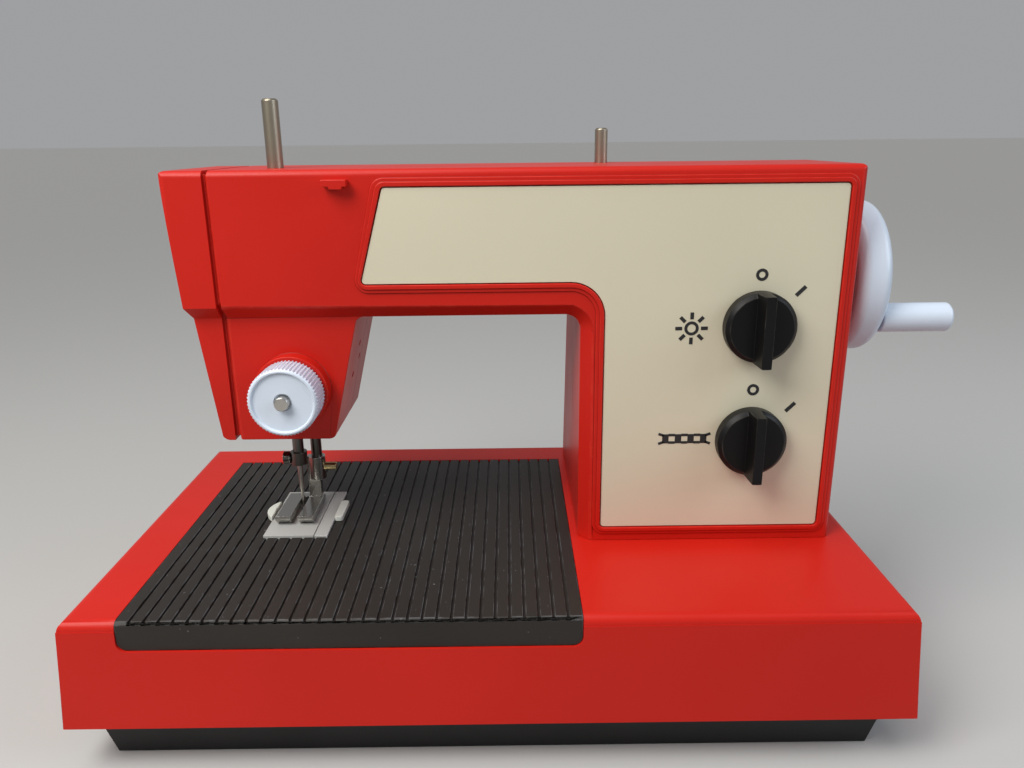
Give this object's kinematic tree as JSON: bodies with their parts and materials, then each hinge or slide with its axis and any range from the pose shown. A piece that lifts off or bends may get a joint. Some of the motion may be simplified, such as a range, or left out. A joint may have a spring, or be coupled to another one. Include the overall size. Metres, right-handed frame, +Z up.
{
  "type": "toy sewing machine",
  "caption": "Toy sewing machine with a red moulded arm on a wide base, hand wheel and crank, needle, presser foot, ribbed work plate, tension dial and rotary switches.",
  "frame": {"origin": "centre of the bottom tray's flat underside", "axes": "+X towards the hand wheel, +Y to the back, away from the dials, +Z up"},
  "size_m": [0.2847, 0.1426, 0.1982],
  "materials": {
    "red_plastic": "glossy",
    "black_plastic": "satin",
    "black_knob": "glossy",
    "cream_plastic": "satin",
    "white_plastic": "glossy",
    "pale_metal": "satin",
    "dark_steel": "worn",
    "bright_steel": "worn",
    "brass": "worn",
    "cell_jacket": "satin",
    "lamp_glass": "clear"
  },
  "bodies": {
    "machine": {"bottom_tray": "black_plastic", "base_shell": "red_plastic", "work_plate": "black_plastic", "needle_plate": "pale_metal", "slide_strip": "pale_metal", "plate_clips": "white_plastic", "battery_cover": "black_plastic", "batteries": "cell_jacket", "battery_contacts": "bright_steel", "hook_frame": "black_plastic", "lower_bearing": "black_plastic", "drive_belt": "black_plastic", "head_bearing": "white_plastic", "wheel_bearing": "white_plastic", "motor": "bright_steel", "motor_cradle": "black_plastic", "arm_front_shell": "red_plastic", "arm_rear_shell": "red_plastic", "head_cover": "red_plastic", "faceplate": "cream_plastic", "thread_guide": "red_plastic", "spool_pin_left": "bright_steel", "spool_pin_right": "bright_steel", "lamp_switch": "black_plastic", "sew_switch": "black_plastic", "lamp_holder": "black_plastic", "lamp_bulb": "lamp_glass", "head_frame": "dark_steel", "presser_spring": "bright_steel", "tension_stud": "bright_steel", "tension_discs": "bright_steel", "tension_spring": "bright_steel", "housing_screws": "bright_steel", "tray_screws": "bright_steel"},
    "drive_shaft": {"main_shaft": "bright_steel", "crank_disc": "bright_steel", "drive_gear": "white_plastic", "upper_pulley": "white_plastic", "hand_wheel": "white_plastic", "grip_pin": "bright_steel"},
    "grip": {"crank_grip": "white_plastic"},
    "motor_shaft": {"motor_pinion": "brass"},
    "lower_drive": {"lower_shaft": "bright_steel", "lower_pulley": "white_plastic", "looper": "bright_steel"},
    "needle_carrier": {"needle_bar": "dark_steel", "needle_yoke": "bright_steel", "needle_clamp": "dark_steel", "clamp_screw": "dark_steel", "needle": "bright_steel"},
    "presser": {"presser_bar": "dark_steel", "presser_collar": "bright_steel", "presser_foot": "dark_steel", "foot_screw": "brass"},
    "lifter": {"presser_lifter": "bright_steel"},
    "tension_dial": {"tension_knob": "white_plastic"},
    "lamp_dial": {"lamp_knob": "black_knob"},
    "sew_dial": {"sew_knob": "black_knob"},
    "feed": {"feed_dog": "bright_steel"}
  },
  "joints": [
    {"name": "hand_wheel_spin", "type": "hinge", "parent": "machine", "child": "drive_shaft", "pos_m": [0.125, 0.0095, 0.138], "axis": [1, 0, 0], "continuous": true},
    {"name": "crank_grip_spin", "type": "hinge", "parent": "drive_shaft", "child": "grip", "pos_m": [0.143, -0.00647, 0.12596], "axis": [1, 0, 0], "continuous": true},
    {"name": "motor_spin", "type": "hinge", "parent": "machine", "child": "motor_shaft", "pos_m": [0.07, 0.0095, 0.114], "axis": [1, 0, 0], "continuous": true},
    {"name": "lower_shaft_spin", "type": "hinge", "parent": "machine", "child": "lower_drive", "pos_m": [-0.05, 0.0095, 0.034], "axis": [1, 0, 0], "continuous": true},
    {"name": "needle_bar_slide", "type": "slide", "parent": "machine", "child": "needle_carrier", "axis": [0, 0, 1], "range_m": [-0.007, 0.009]},
    {"name": "lifter_turn", "type": "hinge", "parent": "machine", "child": "lifter", "pos_m": [-0.0575, 0.02, 0.0968], "axis": [0, 1, 0], "range_deg": [0, 68.9]},
    {"name": "presser_slide", "type": "slide", "parent": "machine", "child": "presser", "axis": [0, 0, 1], "range_m": [0, 0.006], "deforming": ["presser_spring"]},
    {"name": "tension_turn", "type": "hinge", "parent": "machine", "child": "tension_dial", "pos_m": [-0.0645, -0.028, 0.1067], "axis": [0, 1, 0], "range_deg": [-180, 180]},
    {"name": "lamp_turn", "type": "hinge", "parent": "machine", "child": "lamp_dial", "pos_m": [0.0863, -0.03, 0.1273], "axis": [0, 1, 0], "range_deg": [0, 45]},
    {"name": "sew_turn", "type": "hinge", "parent": "machine", "child": "sew_dial", "pos_m": [0.0863, -0.03, 0.0887], "axis": [0, 1, 0], "range_deg": [0, 45]},
    {"name": "feed_slide", "type": "slide", "parent": "machine", "child": "feed", "axis": [0, 1, 0], "range_m": [-0.0015, 0.0015]}
  ],
  "couplings": [
    {"joint": "motor_spin", "follows": "hand_wheel_spin", "ratio": -4},
    {"joint": "lower_shaft_spin", "follows": "hand_wheel_spin", "ratio": 1},
    {"joint": "presser_slide", "follows": "lifter_turn", "m_per_rad": 0.004985}
  ]
}
